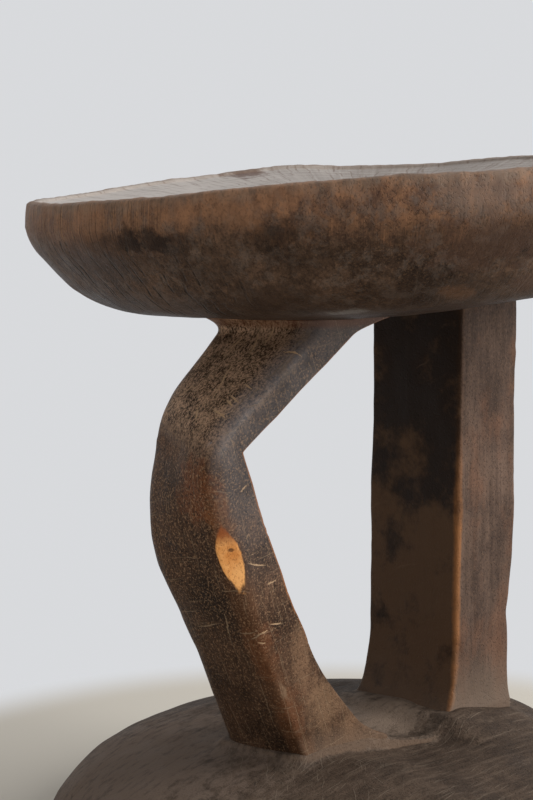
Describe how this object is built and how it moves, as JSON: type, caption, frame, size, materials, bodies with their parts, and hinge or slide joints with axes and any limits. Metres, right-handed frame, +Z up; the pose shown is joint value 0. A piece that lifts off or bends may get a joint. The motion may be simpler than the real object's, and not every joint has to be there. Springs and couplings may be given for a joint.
{
  "type": "tonga stool",
  "caption": "Low carved hardwood stool: round dished seat with a bowl-shaped underside, held over a domed round base by a knee-bent leg and a straight rectangular post.",
  "frame": {"origin": "on the floor, under the middle of the stool", "axes": "+Z up; +X from the bent leg to the straight post; the flat sides of both supports face -Y and +Y"},
  "size_m": [0.3, 0.3, 0.3196],
  "materials": {
    "seat_wood": "worn, waxed by handling",
    "knee_leg_wood": "worn, waxed by handling",
    "straight_post_wood": "worn, waxed by handling",
    "base_wood": "dull, scratched and dusty"
  },
  "bodies": {
    "root": {"seat": "seat_wood", "knee_leg": "knee_leg_wood", "straight_post": "straight_post_wood", "base": "base_wood"}
  },
  "joints": []
}
